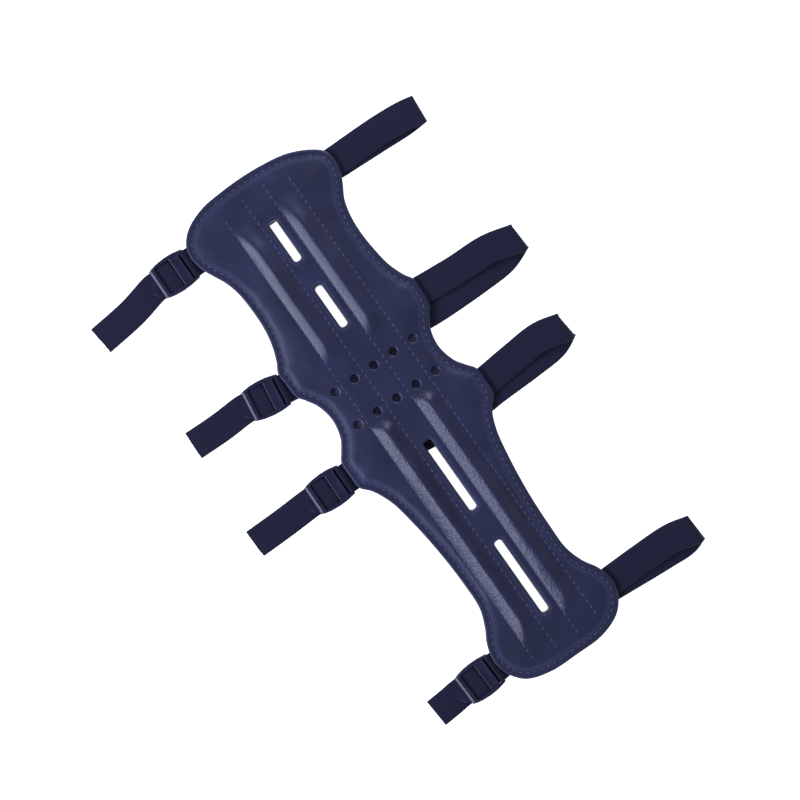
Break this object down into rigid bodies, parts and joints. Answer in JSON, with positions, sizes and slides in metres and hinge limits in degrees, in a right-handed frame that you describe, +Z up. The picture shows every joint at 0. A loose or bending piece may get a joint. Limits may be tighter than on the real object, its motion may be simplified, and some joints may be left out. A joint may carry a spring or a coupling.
{
  "type": "archery arm guard",
  "caption": "Long padded arm guard laid flat: leathercloth panel with stays and vents, elastic straps looped through ladder-lock buckles.",
  "frame": {"origin": "on the table plane, below the crossing of the guard's centre line and the middle of its length", "axes": "+Y along the guard to the upper-arm end, +X to the side where the straps are sewn on, +Z up, away from the arm"},
  "size_m": [0.2677, 0.3834, 0.0123],
  "materials": {
    "leathercloth": "polyurethane-coated cloth with fine calf grain, satin",
    "knit_lining": "brushed polyester knit, matt",
    "foam": "closed-cell EVA foam",
    "stay": "extruded polyethylene",
    "elastic": "woven elastic, 20 mm, ribbed",
    "tab_webbing": "flat woven polypropylene webbing, 20 mm",
    "buckle_acetal": "injection-moulded acetal, satin",
    "thread": "bonded polyester thread"
  },
  "bodies": {
    "upper_arm_section": {"cover": "leathercloth", "lining": "knit_lining", "edge_stitching": "thread", "channel_stitching_a": "thread", "channel_stitching_b": "thread", "channel_stitching_c": "thread", "channel_stitching_d": "thread", "foam_upper_arm": "foam", "stay_upper_left": "stay", "stay_upper_right": "stay", "strap_1_run": "elastic", "strap_2_run": "elastic", "tab_1": "tab_webbing", "tab_2": "tab_webbing"},
    "forearm_section": {"foam_forearm": "foam", "stay_forearm_left": "stay", "stay_forearm_right": "stay", "strap_3_run": "elastic", "strap_4_run": "elastic", "tab_3": "tab_webbing", "tab_4": "tab_webbing"},
    "buckle_1_frame": {"buckle_1": "buckle_acetal"},
    "tail_1": {"strap_1_tail": "elastic"},
    "loop_1": {"strap_1_loop": "elastic"},
    "buckle_2_frame": {"buckle_2": "buckle_acetal"},
    "tail_2": {"strap_2_tail": "elastic"},
    "loop_2": {"strap_2_loop": "elastic"},
    "buckle_3_frame": {"buckle_3": "buckle_acetal"},
    "tail_3": {"strap_3_tail": "elastic"},
    "loop_3": {"strap_3_loop": "elastic"},
    "buckle_4_frame": {"buckle_4": "buckle_acetal"},
    "tail_4": {"strap_4_tail": "elastic"},
    "loop_4": {"strap_4_loop": "elastic"}
  },
  "joints": [
    {"name": "elbow_flex", "type": "hinge", "parent": "upper_arm_section", "child": "forearm_section", "pos_m": [0, 0.027, 0.0073], "axis": [-1, 0, 0], "range_deg": [0, 90], "deforming": ["cover", "lining", "edge_stitching", "channel_stitching_a", "channel_stitching_b", "channel_stitching_c", "channel_stitching_d"]},
    {"name": "buckle_1_tilt", "type": "hinge", "parent": "upper_arm_section", "child": "buckle_1_frame", "pos_m": [-0.061, 0.1642, 0.0038], "axis": [0.012, 0.9999, 0], "range_deg": [0, 60], "deforming": ["strap_1_tail"]},
    {"name": "strap_1_pull", "type": "slide", "parent": "buckle_1_frame", "child": "tail_1", "axis": [-0.9885, -0.1511, 0], "range_m": [-0.026, 0.06], "deforming": ["strap_1_tail"]},
    {"name": "loop_1_take_up", "type": "slide", "parent": "upper_arm_section", "child": "loop_1", "axis": [-0.9993, 0.0377, 0], "range_m": [-0.013, 0.03], "deforming": ["strap_1_loop"]},
    {"name": "buckle_2_tilt", "type": "hinge", "parent": "upper_arm_section", "child": "buckle_2_frame", "pos_m": [-0.0586, 0.0614, 0.0038], "axis": [0.1403, 0.9901, 0], "range_deg": [0, 60], "deforming": ["strap_2_tail"]},
    {"name": "strap_2_pull", "type": "slide", "parent": "buckle_2_frame", "child": "tail_2", "axis": [-1, 0.0023, 0], "range_m": [-0.022, 0.06], "deforming": ["strap_2_tail"]},
    {"name": "loop_2_take_up", "type": "slide", "parent": "upper_arm_section", "child": "loop_2", "axis": [-0.9998, 0.0195, 0], "range_m": [-0.011, 0.03], "deforming": ["strap_2_loop"]},
    {"name": "buckle_3_tilt", "type": "hinge", "parent": "forearm_section", "child": "buckle_3_frame", "pos_m": [-0.0592, -0.0106, 0.0038], "axis": [0.016, 0.9999, 0], "range_deg": [0, 60], "deforming": ["strap_3_tail"]},
    {"name": "strap_3_pull", "type": "slide", "parent": "buckle_3_frame", "child": "tail_3", "axis": [-0.9998, -0.0211, 0], "range_m": [-0.024, 0.06], "deforming": ["strap_3_tail"]},
    {"name": "loop_3_take_up", "type": "slide", "parent": "forearm_section", "child": "loop_3", "axis": [-0.999, -0.0444, 0], "range_m": [-0.012, 0.03], "deforming": ["strap_3_loop"]},
    {"name": "buckle_4_tilt", "type": "hinge", "parent": "forearm_section", "child": "buckle_4_frame", "pos_m": [-0.05, -0.1686, 0.0038], "axis": [-0.032, 0.9995, 0], "range_deg": [0, 60], "deforming": ["strap_4_tail"]},
    {"name": "strap_4_pull", "type": "slide", "parent": "buckle_4_frame", "child": "tail_4", "axis": [-0.997, -0.0777, 0], "range_m": [-0.01, 0.06], "deforming": ["strap_4_tail"]},
    {"name": "loop_4_take_up", "type": "slide", "parent": "forearm_section", "child": "loop_4", "axis": [-0.9992, 0.0408, 0], "range_m": [-0.005, 0.03], "deforming": ["strap_4_loop"]}
  ],
  "couplings": [
    {"joint": "loop_1_take_up", "follows": "strap_1_pull", "ratio": 0.5},
    {"joint": "loop_2_take_up", "follows": "strap_2_pull", "ratio": 0.5},
    {"joint": "loop_3_take_up", "follows": "strap_3_pull", "ratio": 0.5},
    {"joint": "loop_4_take_up", "follows": "strap_4_pull", "ratio": 0.5}
  ]
}
